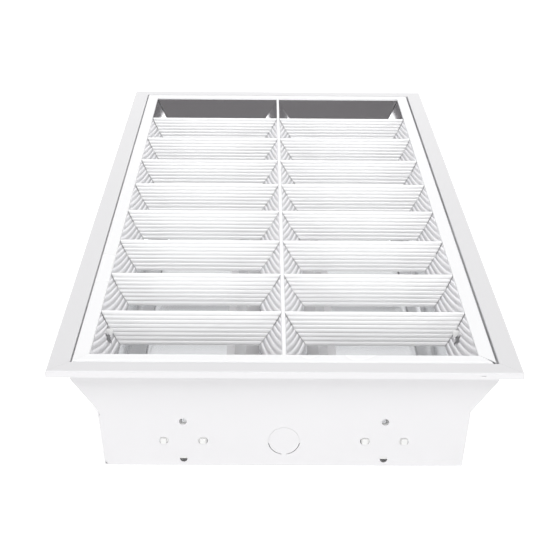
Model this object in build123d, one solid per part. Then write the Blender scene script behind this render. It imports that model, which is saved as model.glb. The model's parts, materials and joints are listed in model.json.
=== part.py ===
"""Recessed troffer light for two fluorescent tubes, lying on its back with the louver face up.

X runs across the fixture, Y along it and +Z out of the louver face.
The origin is the centre of the back of the housing. All lengths are in millimetres.
"""
from build123d import *
import math
import os

# ---- Housing: one folded sheet between two end plates -------------------------------------
LENGTH = 595.0              # fits a 600 mm ceiling module
WIDTH = 295.0               # fits a 300 mm ceiling module
HEIGHT = 76.0               # back to louver face
SHEET = 0.6                 # housing steel
FOLD = 0.5                  # inside radius of a housing fold
LIP = 4.5                   # turned back edge of the flange
SIDE_FLANGE = 13.5          # side flange, from its outer edge to the opening
END_FLANGE = 12.0           # end plate's outer face to the flange's outer edge
RIM_DEPTH = 12.5            # straight wall under the flange
SLOPE_STEP = 16.1           # how far the sloping wall comes in below the opening
SHOULDER_Z = 41.0
WALL_STEP = 2.8             # how far the lower wall comes in on its way to the back
MITRE_GAP = 0.15
TAB_LENGTH = 12.0           # end plate's tab on the side wall
TAB_LOW = 12.0
TAB_HIGH = 32.0
CORNER_CUT_X = 2.6          # clipped bottom corner of the end plate
CORNER_CUT_Z = 4.0
NOTCH_Z = 37.0              # small relief notch in the end plate's edge
NOTCH = 1.2
LIP_SLIT_INSET = 11.5       # from the side of the opening
LIP_SLIT_LENGTH = 3.0
LIP_SLIT_HEIGHT = 0.8
FIXING_INSET = 42.5         # two suspension holes on the centre line, from the ends
FIXING_RADIUS = 2.75
FINE = 0.05                 # least gap between pieces that touch when they are put together

# ---- Lamps and lampholders ----------------------------------------------------------------
LAMP_X = 64.6
LAMP_Z = 18.7
HOLDER_DEPTH = 10.3         # lampholder from the end plate to its face
HOLDER_HALF = 15.0
HOLDER_LOW = 5.0
HOLDER_HIGH = 30.3
HOLDER_CORNER = 7.5
ROTOR_RADIUS = 6.95
ROTOR_PLAY = 0.05
ROTOR_DEPTH = 8.6
ROTOR_FLOOR = 1.2           # rotor material behind its pin slot
PIN_SLOT = 3.0
FOOT_X = 12.6               # snap foot each side of the lamp axis
FOOT_WIDTH = 3.4
FOOT_HEIGHT = 3.9
FOOT_STAND_OUT = 0.8
FOOT_SLOT_WIDTH = 6.2
FOOT_SLOT_HEIGHT = 4.9
PEG_HOLE_RADIUS = 2.4
PEG_HOLE_RISE = 14.2        # hole above the lamp axis
PEG_HOLE_DROP = 13.7        # hole below it
CONTACT_SHEET = 0.4
CONTACT_OUT = 9.6           # contact pocket beside the rotor, from the lamp axis
CONTACT_DEPTH = 1.6         # face of the lampholder to the contacts
CONTACT_HALF = 3.0
KNOCKOUT_RADIUS = 10.3
KNOCKOUT_SLOT = 0.5
KNOCKOUT_SCORE = 0.25
KNOCKOUT_BRIDGE = 2.9       # metal left at the bottom of the ring
KNOCKOUT_DROP = 1.8         # the open arcs start this far below its middle

# ---- Louver -------------------------------------------------------------------------------
LOUVER_SHIFT = -0.3         # the louver sits a little to the left of centre
LOUVER_SIDE_GAP = 0.8       # louver to the side of the opening, when it is centred
LOUVER_END_GAP = 0.5
RAIL_WIDTH = 10.4
END_RAIL_WIDTH = 9.8
RAIL_SHEET = 0.6
RAIL_LEG = 3.0
RAIL_HEM = 1.8
RAIL_CORNER = 1.4           # inside radius of the rail's outer fold
OPEN_MITRE = 2.2            # how far the near right mitre stands open at its widest
MIRROR_SHEET = 0.4
MIRROR_TUCK = 0.4           # gap between the rail's hem and the reflector behind it
LOUVER_DEPTH = 24.0
FLANK_LEAN = 11.4           # how far a side reflector comes in over its depth
FLANK_START = 10.5          # its slope at the face, degrees from upright
CENTRE_TOP_HALF = 0.9
CENTRE_LEAN = 14.6
CENTRE_START = 18.0
END_LEAN = 9.0
END_START = 12.0
MIRROR_FLANGE = 6.0
BLADES = 8
END_CELL = 72.65            # end of the louver to the last cross-blade
BLADE_DROP = 1.0            # blade edge below the louver face
BLADE_NOSE_HALF = 0.8
BLADE_BASE_HALF = 4.6
BLADE_SHEET = 0.4
RIBS = 8
RIB_HEIGHT = 0.45
BLADE_PLAY = 0.35           # seam between a blade and the curved face beside it
BLADE_END_CHORDS = 3        # straight cuts that follow a curved face at a blade's end
BLADE_TAB_HEIGHT = 4.0
BLADE_TAB_LENGTH = 2.0
BLADE_SLOT_PLAY = 0.15

# ---- Catches: pins on the louver in clips on the housing ----------------------------------
CATCH_INSET = 6.0           # pin's axis from the side of the louver
CATCH_BEYOND = 7.75         # catch from the last cross-blade
PIN_Z = 72.3
PIN_RADIUS = 1.5
PIN_LENGTH = 12.0
PIN_PLAY = 0.05
CATCH_PLATE = 4.0
CATCH_LOW = 57.5
CATCH_HEAD_IN = 6.0         # how far the head stands out of the side reflector
CATCH_HEAD_Z = 60.5
CATCH_HEAD_HEIGHT = 5.0
CATCH_HEAD_WIDTH = 5.6
CATCH_HEAD_BEVEL = 0.8
CATCH_WINDOW_PLAY = 0.4
CLIP_SHEET = 0.5
CLIP_ARM = 1.2              # clip arm above the pin's axis
CLIP_WIDTH = 3.4
CLIP_SIDE_GAP = 0.3
CLIP_FOOT = 9.0
CROSS_CUT_Y = 8.5           # centre of the cross-shaped cut-out, beside the catch
CROSS_CUT_LONG = 9.0
CROSS_CUT_TALL = 8.0
CROSS_CUT_BAR = 2.4
RIVET_RADIUS = 1.6
RIVET_HEAD = 3.0
RIVET_DOME = 0.9
RIVET_TAIL = 2.2            # radius of the set end

# ---- Lamp reflectors and gear -------------------------------------------------------------
TROUGH_SHEET = 0.4
TROUGH_FLOOR = 4.8
TROUGH_INNER = 37.0
TROUGH_OUTER_INSET = 17.1   # end of the trough floor from the wall
TROUGH_SLOPE_INSET = 3.6    # lower end of its steep side from the wall
TROUGH_SLOPE_Z = 19.0
TROUGH_TOP = 40.0
TROUGH_BEND = 12.0
TROUGH_END_GAP = 2.5        # lampholder's face to the end of the lamp reflector
TROUGH_FOOT_PITCH = 190.0
TROUGH_FOOT_LENGTH = 40.0
WALL_GAP = 0.3
FOOT_FLANGE = 6.0
COVER_FOOT = 35.0
COVER_TOP_HALF = 26.0
COVER_HEIGHT = 33.0
COVER_END_GAP = 38.6        # lampholder's face to the end of the cover
COVER_SHEET = 0.6
BRACKET_INSET = 8.0         # middle of a bracket from the end of the cover
BRACKET_WIDTH = 14.0
BRACKET_HALF = 20.0
BRACKET_FOOT = 28.0
BRACKET_SHEET = 0.8
SCREW_RADIUS = 1.75
SCREW_HEAD = 3.3
SCREW_HEAD_HEIGHT = 2.2
SCREW_RECESS = 1.0
COVER_SCREW = 6.0
BALLAST_HALF_WIDTH = 15.0
BALLAST_HALF_LENGTH = 140.0
BALLAST_HEIGHT = 21.0
BALLAST_WALL = 10.5         # height of the tray's side walls
BALLAST_SHEET = 0.6
BALLAST_LUG = 9.0
BALLAST_ROUND = 2.0
LUG_HALF_WIDTH = 6.0
TERMINAL_LENGTH = 16.0
TERMINAL_HEIGHT = 14.0
BLOCK_GAP = 13.0            # ballast to the mains connector
BLOCK_LENGTH = 26.0
BLOCK_WIDTH = 16.0
BLOCK_HEIGHT = 15.0
BLOCK_BEVEL = 1.5
BLOCK_WAYS = 3
BLOCK_WAY_PITCH = 5.0
BLOCK_ENTRY = 1.6
BLOCK_SCREW = 1.4
BLOCK_SCREW_DEPTH = 7.0
BLOCK_SCREW_SUNK = 1.0
BLOCK_SCREW_SLOT = 0.6
MAINS_Z = 6.0
GROMMET_GAP = 24.5          # middle of the mains connector to the grommet
GROMMET_BORE = 5.0
GROMMET_WALL = 2.0
GROMMET_LIP = 2.0
GROMMET_HEIGHT = 3.4
GROMMET_BEVEL = 0.8
EARTH_X = 24.0
LEAD_RADIUS = 0.9
LEAD_ENTRY = 5.0            # how far a lead goes into a terminal
LAMP_LEAD_Z = 8.0
LAMP_LEAD_X = 11.0          # where a lamp lead goes into the ballast
LAMP_LEAD_FREE = 11.6       # straight run out of the lampholder
# Corners of a lamp lead: place across, and share of the way along to the ballast.
LAMP_LEAD_BENDS = [(20.0, 0.12), (9.5, 0.55)]
LAMP_LEAD_LAST = 18.0       # straight run into the ballast

# ---- Sizes that follow from the ones above ------------------------------------------------
OPENING_HALF = WIDTH / 2 - SIDE_FLANGE            # half width of the louver's opening
SHOULDER_HALF = OPENING_HALF - SLOPE_STEP         # inside, where the sloping wall ends
BACK_HALF = SHOULDER_HALF - WALL_STEP             # inside, at the back
END_OUT = LENGTH / 2 - END_FLANGE                 # outer face of an end plate
END_IN = END_OUT - SHEET
FIXING_Y = LENGTH / 2 - FIXING_INSET
LIP_SLIT_X = OPENING_HALF - LIP_SLIT_INSET
RIM_Z = HEIGHT - RIM_DEPTH
HOLDER_FACE = END_IN - HOLDER_DEPTH
LOUVER_HALF_WIDTH = OPENING_HALF - LOUVER_SIDE_GAP
LOUVER_HALF_LENGTH = END_IN - LOUVER_END_GAP
LAST_BLADE_Y = LOUVER_HALF_LENGTH - END_CELL
BLADE_PITCH = 2 * LAST_BLADE_Y / (BLADES - 1)
CATCH_X = LOUVER_HALF_WIDTH - CATCH_INSET         # from the louver's centre line
CATCH_Y = LAST_BLADE_Y + CATCH_BEYOND
RAIL_INNER = LOUVER_HALF_WIDTH - RAIL_WIDTH
END_RAIL_INNER = LOUVER_HALF_LENGTH - END_RAIL_WIDTH
RAIL_UNDER = HEIGHT - RAIL_SHEET
LOUVER_BASE = HEIGHT - LOUVER_DEPTH
MIRROR_DEPTH = RAIL_UNDER - LOUVER_BASE
BLADE_TOP = HEIGHT - BLADE_DROP
BLADE_HEIGHT = BLADE_TOP - LOUVER_BASE
TAB_Z = (BLADE_TOP + LOUVER_BASE) / 2
TROUGH_END = HOLDER_FACE - TROUGH_END_GAP
TROUGH_OUTER = BACK_HALF - TROUGH_OUTER_INSET
TROUGH_SLOPE_X = BACK_HALF - TROUGH_SLOPE_INSET
COVER_HALF_LENGTH = HOLDER_FACE - COVER_END_GAP
BRACKET_Y = COVER_HALF_LENGTH - BRACKET_INSET
BALLAST_END = BALLAST_HALF_LENGTH + TERMINAL_LENGTH
BALLAST_SCREW_Y = BALLAST_END + BALLAST_LUG / 2
BALLAST_INNER = BALLAST_HALF_WIDTH - BALLAST_SHEET - FOLD
BLOCK_Y = BALLAST_END + BLOCK_GAP + BLOCK_LENGTH / 2
GROMMET_Y = BLOCK_Y + GROMMET_GAP
BLOCK_WAYS_X = [(way - (BLOCK_WAYS - 1) / 2) * BLOCK_WAY_PITCH for way in range(BLOCK_WAYS)]
BACK_SCREWS = [(0, -BALLAST_SCREW_Y), (0, BALLAST_SCREW_Y), (EARTH_X, BLOCK_Y)]

# Each curved face: its top point, its depth, its lean and its slope at the top.
FLANK = ((RAIL_INNER + RAIL_SHEET + MIRROR_TUCK, RAIL_UNDER), MIRROR_DEPTH, FLANK_LEAN,
         FLANK_START)
CENTRE = ((-CENTRE_TOP_HALF, BLADE_TOP), BLADE_HEIGHT, CENTRE_LEAN, CENTRE_START)
END = ((END_RAIL_INNER + RAIL_SHEET + MIRROR_TUCK, RAIL_UNDER), MIRROR_DEPTH, END_LEAN,
       END_START)


# ---- Helpers ------------------------------------------------------------------------------
def along_y(section, start, end):
    """Extrude a section drawn in X and Z from Y = start to Y = end."""
    return extrude(Plane.XZ.offset(-end) * section, end - start)


def along_x(section, start, end):
    """Extrude a section drawn in Y and Z from X = start to X = end."""
    return extrude(Plane.YZ.offset(start) * section, end - start)


def block(x, y, z):
    """A box between two values on each axis."""
    size = [high - low for low, high in (x, y, z)]
    centre = [(low + high) / 2 for low, high in (x, y, z)]
    return Pos(*centre) * Box(*size)


def about(centre, half):
    """The two values that lie half a width each side of a centre."""
    return centre - half, centre + half


def outline(points):
    """A closed flat outline through the points."""
    return make_face(Polyline(*points, close=True))


def disc(radius, low, high, x=0.0, y=0.0):
    """An upright round bar."""
    return Pos(x, y, (low + high) / 2) * Cylinder(radius, high - low)


def bar_along_y(radius, x, z, start, end):
    """A round bar that lies along Y."""
    return along_y(Pos(x, z) * Circle(radius), start, end)


def mirrored_x(shape):
    """The same shape on the other side of the fixture's long centre plane."""
    return mirror(shape, about=Plane.YZ)


def mirrored_y(shape):
    """The same shape at the other end of the fixture."""
    return mirror(shape, about=Plane.XZ)


def turned(shape):
    """The same shape turned half a turn about the upright axis."""
    return Rot(0, 0, 180) * shape


def group(solids):
    """Several separate solids of one node."""
    return Compound(children=[solid for shape in solids for solid in shape.solids()])


def offset_corners(points, distance):
    """The points moved to the left of the line through them, with mitred corners."""
    path = [Vector(*point) for point in points]
    ways = [(b - a).normalized() for a, b in zip(path, path[1:])]
    moved = []
    for index, point in enumerate(path):
        before = ways[max(index - 1, 0)]
        after = ways[min(index, len(ways) - 1)]
        half = Vector(-before.Y - after.Y, before.X + after.X) * 0.5
        moved.append(point + half * (distance / half.dot(half)))
    return [(point.X, point.Y) for point in moved]


def folded_sheet(points, thickness, inside_radii):
    """Section of a folded sheet: one face on the points, its thickness on their left."""
    near, far = [], []
    for radius, a, b, c in zip(inside_radii, points, points[1:], points[2:]):
        turn = (b[0] - a[0]) * (c[1] - b[1]) - (b[1] - a[1]) * (c[0] - b[0])
        near.append(radius + thickness if turn > 0 else radius)
        far.append(radius if turn > 0 else radius + thickness)
    face_line = FilletPolyline(*points, radius=near)
    back_line = FilletPolyline(*offset_corners(points, thickness), radius=far)
    start = Line(face_line @ 0, back_line @ 0)
    end = Line(face_line @ 1, back_line @ 1)
    return make_face(face_line.edges() + end.edges() + back_line.edges() + start.edges())


def leaning_circle(top, depth, lean, start_degrees):
    """Centre and radius of a face that goes down from its top point and leans to -X."""
    slope = math.radians(start_degrees)
    inward = Vector(-math.cos(slope), math.sin(slope))
    chord = Vector(-lean, -depth)
    radius = chord.dot(chord) / (2 * chord.dot(inward))
    return Vector(*top) + inward * radius, radius


def leaning_arc(face, offset=0.0):
    """Start, middle and end of a leaning face, moved to +X by the offset."""
    top, depth, lean, _ = face
    centre, radius = leaning_circle(*face)
    start = (Vector(*top) - centre).normalized()
    end = (Vector(*top) - Vector(lean, depth) - centre).normalized()
    return [centre + spoke * (radius + offset) for spoke in (start, (start + end).normalized(), end)]


def leaning_x(face, z):
    """Place across of a leaning face at a height."""
    centre, radius = leaning_circle(*face)
    return centre.X + math.sqrt(radius ** 2 - (z - centre.Y) ** 2)


def across(points):
    """The points on the other side of the section's upright axis."""
    return [Vector(-point.X, point.Y) for point in points]


def ring_of(lines):
    """Face bounded by the lines in turn and by straight runs over the gaps between them."""
    edges = []
    for index, line in enumerate(lines):
        after = lines[(index + 1) % len(lines)]
        edges += line.edges()
        if ((line @ 1) - (after @ 0)).length > 1e-5:
            edges += Line(line @ 1, after @ 0).edges()
    return make_face(edges)


def curved_mirror(face):
    """Section of a curved reflector with a flange out to +X at its top."""
    shiny = ThreePointArc(*leaning_arc(face))
    back = ThreePointArc(*reversed(leaning_arc(face, MIRROR_SHEET)))
    x, z = face[0]
    flange = outline([(x, z), (x + MIRROR_FLANGE, z), (x + MIRROR_FLANGE, z - MIRROR_SHEET),
                      (x, z - MIRROR_SHEET)])
    return ring_of([shiny, back]) + flange


def room_between(right_face, left_face):
    """Section of the space between two leaning faces, over the louver's whole depth."""
    low = LOUVER_BASE - BLADE_DROP
    right = leaning_arc(right_face, -BLADE_PLAY)
    left = across(leaning_arc(left_face, -BLADE_PLAY))
    bottom = Line((right[2].X, low), (left[2].X, low))
    lid = Line((left[0].X, HEIGHT), (right[0].X, HEIGHT))
    return ring_of([ThreePointArc(*right), bottom, ThreePointArc(*reversed(left)), lid])


def leaning_chords(face, offset):
    """Points along a leaning face, moved to +X by the offset, for straight cuts along it."""
    top, depth, lean, _ = face
    centre, radius = leaning_circle(*face)
    first = Vector(*top) - centre
    last = first - Vector(lean, depth)
    start, end = math.atan2(first.Y, first.X), math.atan2(last.Y, last.X)
    angles = [start + (end - start) * step / BLADE_END_CHORDS for step in range(BLADE_END_CHORDS + 1)]
    return [centre + Vector(math.cos(a), math.sin(a)) * (radius + offset) for a in angles]


def blade_room():
    """Section of the space that a right half blade fills, with straight cuts at its ends."""
    low = LOUVER_BASE - BLADE_DROP
    right = leaning_chords(FLANK, -BLADE_PLAY)
    left = across(leaning_chords(CENTRE, -BLADE_PLAY))
    bottom = [Vector(right[-1].X, low), Vector(left[-1].X, low)]
    lid = [Vector(left[0].X, HEIGHT), Vector(right[0].X, HEIGHT)]
    return outline([(p.X, p.Y) for p in right + bottom + left[::-1] + lid])


# ---- Housing ------------------------------------------------------------------------------
def housing_path():
    """Room side of the folded sheet, from the right lip to the left lip."""
    right = [(WIDTH / 2, HEIGHT - LIP), (WIDTH / 2, HEIGHT), (OPENING_HALF, HEIGHT),
             (OPENING_HALF, RIM_Z), (SHOULDER_HALF, SHOULDER_Z), (BACK_HALF, SHEET)]
    return right + [(-x, z) for x, z in reversed(right)]


def end_zone(gap=0.0):
    """Plan of the near end plate's share of the flange, between its two mitres."""
    mitre = (WIDTH / 2 - OPENING_HALF) / (LENGTH / 2 - END_IN)
    beyond = LENGTH / 2 + END_FLANGE
    start = OPENING_HALF - gap
    reach = start + mitre * (beyond - END_IN)
    return outline([(-start, -END_IN), (-reach, -beyond), (reach, -beyond), (start, -END_IN)])


def wall_frame(low, high, z, y):
    """Plane on the room side of a right wall between two path points, facing outwards."""
    share = (z - low[1]) / (high[1] - low[1])
    rise = Vector(high[0] - low[0], 0, high[1] - low[1])
    origin = (low[0] + share * rise.X, y, z)
    return Plane(origin=origin, x_dir=(0, 1, 0), z_dir=(rise.Z, 0, -rise.X))


def lower_wall(z, y):
    """Frame on the lower wall."""
    return wall_frame((BACK_HALF, SHEET), (SHOULDER_HALF, SHOULDER_Z), z, y)


def sloping_wall(z, y):
    """Frame on the sloping wall."""
    return wall_frame((SHOULDER_HALF, SHOULDER_Z), (OPENING_HALF, RIM_Z), z, y)


def slope_z(x):
    """Height of the sloping wall's room side at a distance from the centre."""
    share = (x - SHOULDER_HALF) / (OPENING_HALF - SHOULDER_HALF)
    return SHOULDER_Z + share * (RIM_Z - SHOULDER_Z)


def clip_rivet_z(pin_x):
    """Height of the rivet through a catch clip's foot."""
    steep = math.hypot(OPENING_HALF - SHOULDER_HALF, RIM_Z - SHOULDER_Z)
    return slope_z(pin_x) - CLIP_FOOT / 2 * (RIM_Z - SHOULDER_Z) / steep


def rivet_frames(side):
    """Frames of one side's rivets, drawn on the right: two tab rivets, then two clip rivets."""
    tab_y = END_IN - TAB_LENGTH / 2
    tabs = [lower_wall((TAB_LOW + TAB_HIGH) / 2, y) for y in (-tab_y, tab_y)]
    clip_z = clip_rivet_z(pin_distance(side))
    clips = [sloping_wall(clip_z, y) for y in (-CATCH_Y, CATCH_Y)]
    return tabs, clips


def on_side(shape, side):
    """The shape as drawn on the right, or mirrored to the left."""
    return shape if side > 0 else mirrored_x(shape)


def pin_distance(side):
    """Distance of a catch pin from the housing's centre plane."""
    return CATCH_X + side * LOUVER_SHIFT


def housing_body():
    """Back, walls, side flanges and lips as one folded sheet."""
    path = housing_path()
    body = along_y(folded_sheet(path, SHEET, [FOLD] * (len(path) - 2)), -LENGTH / 2,
                   LENGTH / 2)
    zone = extrude(end_zone(), 2 * HEIGHT)
    stub = block(about(0, OPENING_HALF + 2 * SHEET), (-LENGTH, -END_IN),
                 (-SHEET, HEIGHT - SHEET - FOLD))
    for cut in (zone, turned(zone), stub, turned(stub)):
        body -= cut
    for y in (-FIXING_Y, FIXING_Y):
        body -= disc(FIXING_RADIUS, -SHEET, 2 * SHEET, y=y)
    body -= disc(GROMMET_BORE + GROMMET_WALL, -SHEET, 2 * SHEET, y=GROMMET_Y)
    for x, y in BACK_SCREWS:
        body -= disc(SCREW_RADIUS + FINE, -SHEET, 2 * SHEET, x, y)
    for side in (-1, 1):
        tabs, clips = rivet_frames(side)
        for frame in tabs + clips:
            body -= on_side(rivet_hole(frame), side)
    return body


def end_outline():
    """Outline of an end plate, from its clipped bottom corner round to the start."""
    back = BACK_HALF + SHEET
    shoulder = SHOULDER_HALF + SHEET
    rim = OPENING_HALF + SHEET
    top = HEIGHT - SHEET - FOLD
    wall = (shoulder - back) / SHOULDER_Z
    return [(-back + CORNER_CUT_X, 0), (-back - wall * CORNER_CUT_Z, CORNER_CUT_Z),
            (-back - wall * NOTCH_Z, NOTCH_Z), (-shoulder + NOTCH, NOTCH_Z),
            (-shoulder + NOTCH, NOTCH_Z + NOTCH), (-shoulder, SHOULDER_Z), (-rim, RIM_Z),
            (-rim, top), (rim, top), (rim, RIM_Z), (shoulder, SHOULDER_Z), (back, 0)]


def end_plate_near():
    """Near end plate with its own mitred flange and lip, its tabs and all its holes."""
    plate = along_y(outline(end_outline()), -END_OUT, -END_IN)
    path = [(-END_IN, RIM_Z), (-END_IN, HEIGHT), (-LENGTH / 2, HEIGHT),
            (-LENGTH / 2, HEIGHT - LIP)]
    flange = along_x(folded_sheet(path, SHEET, [FOLD] * 2), -WIDTH / 2, WIDTH / 2)
    plate += flange & extrude(end_zone(MITRE_GAP), 2 * HEIGHT)
    for side in (-1, 1):
        plate += on_side(end_tab(), side)
        for cut in holder_holes():
            plate -= on_side(cut, side)
    for cut in knockout():
        plate -= cut
    slit = block(about(LIP_SLIT_X, LIP_SLIT_LENGTH / 2), about(-LENGTH / 2, 2 * SHEET),
                 about(HEIGHT - LIP / 2, LIP_SLIT_HEIGHT / 2))
    return plate - slit


def end_tab():
    """Tab of the near end plate, folded in against the right lower wall."""
    corners = []
    for z, inset in ((TAB_LOW, 0), (TAB_HIGH, 0), (TAB_HIGH, SHEET), (TAB_LOW, SHEET)):
        point = lower_wall(z, 0).from_local_coords((0, 0, -inset))
        corners.append((point.X, point.Z))
    tab = along_y(outline(corners), -END_IN, -END_IN + TAB_LENGTH)
    hole_frame = lower_wall((TAB_LOW + TAB_HIGH) / 2, -END_IN + TAB_LENGTH / 2)
    return tab - rivet_hole(hole_frame)


def holder_holes():
    """Cuts in the near end plate for the right lampholder."""
    through = (-END_OUT - SHEET, -END_IN + SHEET)
    cuts = [bar_along_y(PEG_HOLE_RADIUS, LAMP_X, LAMP_Z + PEG_HOLE_RISE, *through),
            bar_along_y(PEG_HOLE_RADIUS, LAMP_X, LAMP_Z - PEG_HOLE_DROP, *through)]
    for side in (-1, 1):
        slot = Pos(LAMP_X + side * FOOT_X, LAMP_Z) * RectangleRounded(
            FOOT_SLOT_WIDTH, FOOT_SLOT_HEIGHT, 0.45 * FOOT_SLOT_HEIGHT)
        cuts.append(along_y(slot, *through))
    return cuts


def knockout():
    """Cuts of the cable knock-out: two open arcs below and a shallow score round the rest."""
    ring = Circle(KNOCKOUT_RADIUS) - Circle(KNOCKOUT_RADIUS - KNOCKOUT_SLOT)
    side = 2 * KNOCKOUT_RADIUS
    low = Pos(0, -KNOCKOUT_RADIUS - KNOCKOUT_DROP) * Rectangle(side, side)
    bridge = Pos(0, -KNOCKOUT_RADIUS) * Rectangle(KNOCKOUT_BRIDGE, KNOCKOUT_RADIUS)
    arcs = Pos(0, LAMP_Z) * ((ring & low) - bridge)
    score = Pos(0, LAMP_Z) * (ring - low)
    return [along_y(arcs, -END_OUT - SHEET, -END_IN + SHEET),
            along_y(score, -END_OUT - SHEET, -END_OUT + KNOCKOUT_SCORE)]


def rivet_hole(frame):
    """Bar that cuts a rivet's hole through the sheets."""
    return extrude(frame * Circle(RIVET_RADIUS + FINE), 3 * SHEET, both=True)


def rivet(frame, inner_sheet):
    """Blind rivet with its domed head outside and its set end inside."""
    set_end = -inner_sheet - RIVET_DOME
    half = outline([(0, set_end), (RIVET_TAIL, set_end), (RIVET_TAIL, -inner_sheet),
                    (RIVET_RADIUS, -inner_sheet), (RIVET_RADIUS, SHEET), (RIVET_HEAD, SHEET),
                    (0.7 * RIVET_HEAD, SHEET + 0.7 * RIVET_DOME), (0, SHEET + RIVET_DOME)])
    return frame.location * revolve(Plane.XZ * half, Axis.Z)


def rivets():
    """Rivets of the end plate tabs and of the catch clips."""
    all_rivets = []
    for side in (-1, 1):
        tabs, clips = rivet_frames(side)
        all_rivets += [on_side(rivet(frame, SHEET), side) for frame in tabs]
        all_rivets += [on_side(rivet(frame, CLIP_SHEET), side) for frame in clips]
    return group(all_rivets)


# ---- Lampholders --------------------------------------------------------------------------
def lampholder():
    """Far right lampholder: moulded body that snaps into the end plate."""
    shape = Pos(LAMP_X, (HOLDER_LOW + HOLDER_HIGH) / 2) * Rectangle(
        2 * HOLDER_HALF, HOLDER_HIGH - HOLDER_LOW)
    shape = fillet(shape.vertices().group_by(Axis.Y)[-1], HOLDER_CORNER)
    body = along_y(shape, HOLDER_FACE, END_IN)
    bore_floor = HOLDER_FACE + ROTOR_DEPTH + ROTOR_PLAY
    slot_floor = HOLDER_FACE + ROTOR_DEPTH - ROTOR_FLOOR
    body -= bar_along_y(ROTOR_RADIUS + ROTOR_PLAY, LAMP_X, LAMP_Z, 0, bore_floor)
    body -= block(about(LAMP_X, PIN_SLOT / 2), (0, slot_floor), (LAMP_Z, HEIGHT))
    body -= block(about(LAMP_X, CONTACT_OUT), (HOLDER_FACE + CONTACT_DEPTH, slot_floor),
                  about(LAMP_Z, CONTACT_HALF + FINE))
    for side in (-1, 1):
        foot_x = LAMP_X + side * FOOT_X
        body += block(about(foot_x, FOOT_WIDTH / 2), (END_IN, END_OUT + FOOT_STAND_OUT),
                      about(LAMP_Z, FOOT_HEIGHT / 2))
    return body


def lampholder_rotor():
    """Rotor of the far right lampholder, its pin slot upright."""
    back = HOLDER_FACE + ROTOR_DEPTH
    rotor = bar_along_y(ROTOR_RADIUS, LAMP_X, LAMP_Z, HOLDER_FACE, back)
    slot = block(about(LAMP_X, PIN_SLOT / 2), (0, back - ROTOR_FLOOR),
                 about(LAMP_Z, 2 * ROTOR_RADIUS))
    return rotor - slot


def holder_contacts():
    """Two contact springs beside the rotor of the far right lampholder."""
    y = (HOLDER_FACE + CONTACT_DEPTH + FINE, HOLDER_FACE + ROTOR_DEPTH - ROTOR_FLOOR - FINE)
    outer = CONTACT_OUT - FINE
    springs = []
    for side in (-1, 1):
        x = sorted((LAMP_X + side * (outer - CONTACT_SHEET), LAMP_X + side * outer))
        springs.append(block(x, y, about(LAMP_Z, CONTACT_HALF)))
    return springs


def four_corners(shape):
    """A far right shape with its copies at the other three corners, keyed by place."""
    near_right = mirrored_y(shape)
    return {"near_left": mirrored_x(near_right), "near_right": near_right,
            "far_left": mirrored_x(shape), "far_right": shape}


# ---- Lamp reflectors and gear -------------------------------------------------------------
def lamp_reflector():
    """Right lamp reflector: curved trough under the tube, on three folded feet."""
    rim = lower_wall(TROUGH_TOP, 0).from_local_coords((0, 0, -WALL_GAP - TROUGH_SHEET))
    room_side = [(rim.X, rim.Z), (TROUGH_SLOPE_X, TROUGH_SLOPE_Z), (TROUGH_OUTER, TROUGH_FLOOR),
                 (TROUGH_INNER, TROUGH_FLOOR)]
    trough = along_y(folded_sheet(room_side, TROUGH_SHEET, [TROUGH_BEND] * 2), -TROUGH_END,
                     TROUGH_END)
    foot_end = TROUGH_INNER + FOOT_FLANGE
    foot_path = [(foot_end, TROUGH_FLOOR), (TROUGH_INNER, TROUGH_FLOOR), (TROUGH_INNER, SHEET),
                 (foot_end, SHEET)]
    foot = folded_sheet(foot_path, TROUGH_SHEET, [TROUGH_SHEET / 2] * 2)
    for y in (-TROUGH_FOOT_PITCH, 0, TROUGH_FOOT_PITCH):
        trough += along_y(foot, *about(y, TROUGH_FOOT_LENGTH / 2))
    return trough


def gear_cover():
    """Ridge between the lamps: a folded cover whose edges lie on the lamp reflectors."""
    low = TROUGH_FLOOR + COVER_SHEET
    right = [(COVER_FOOT + FOOT_FLANGE, low), (COVER_FOOT, low), (COVER_TOP_HALF, COVER_HEIGHT)]
    path = right + [(-x, z) for x, z in reversed(right)]
    cover = along_y(folded_sheet(path, COVER_SHEET, [FOLD] * 4), -COVER_HALF_LENGTH,
                    COVER_HALF_LENGTH)
    for y in (-BRACKET_Y, BRACKET_Y):
        cover -= disc(SCREW_RADIUS + FINE, COVER_HEIGHT - 2 * COVER_SHEET,
                      COVER_HEIGHT + COVER_SHEET, y=y)
    return cover


def cover_bracket():
    """Hat-shaped bracket on the back that the cover's screw goes into, at the near end."""
    low = SHEET + BRACKET_SHEET
    top = COVER_HEIGHT - COVER_SHEET
    right = [(BRACKET_FOOT, low), (BRACKET_HALF, low), (BRACKET_HALF, top)]
    path = right + [(-x, z) for x, z in reversed(right)]
    bracket = along_y(folded_sheet(path, BRACKET_SHEET, [FOLD] * 4),
                      *about(-BRACKET_Y, BRACKET_WIDTH / 2))
    return bracket - disc(SCREW_RADIUS + FINE, top - 2 * BRACKET_SHEET, top + BRACKET_SHEET,
                          y=-BRACKET_Y)


def screw(x, y, under_head, length):
    """Pan head screw with a cross recess, its shank pointing down."""
    half = outline([(0, under_head - length), (SCREW_RADIUS, under_head - length),
                    (SCREW_RADIUS, under_head), (SCREW_HEAD, under_head),
                    (SCREW_HEAD, under_head + 0.5 * SCREW_HEAD_HEIGHT),
                    (0.7 * SCREW_HEAD, under_head + SCREW_HEAD_HEIGHT),
                    (0, under_head + SCREW_HEAD_HEIGHT)])
    body = revolve(Plane.XZ * half, Axis.Z)
    top = under_head + SCREW_HEAD_HEIGHT
    for reach in ((SCREW_HEAD / 2, SCREW_RECESS / 2), (SCREW_RECESS / 2, SCREW_HEAD / 2)):
        body -= block(about(0, reach[0]), about(0, reach[1]), (top - SCREW_RECESS, top + 1))
    return Pos(x, y, 0) * body


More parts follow.
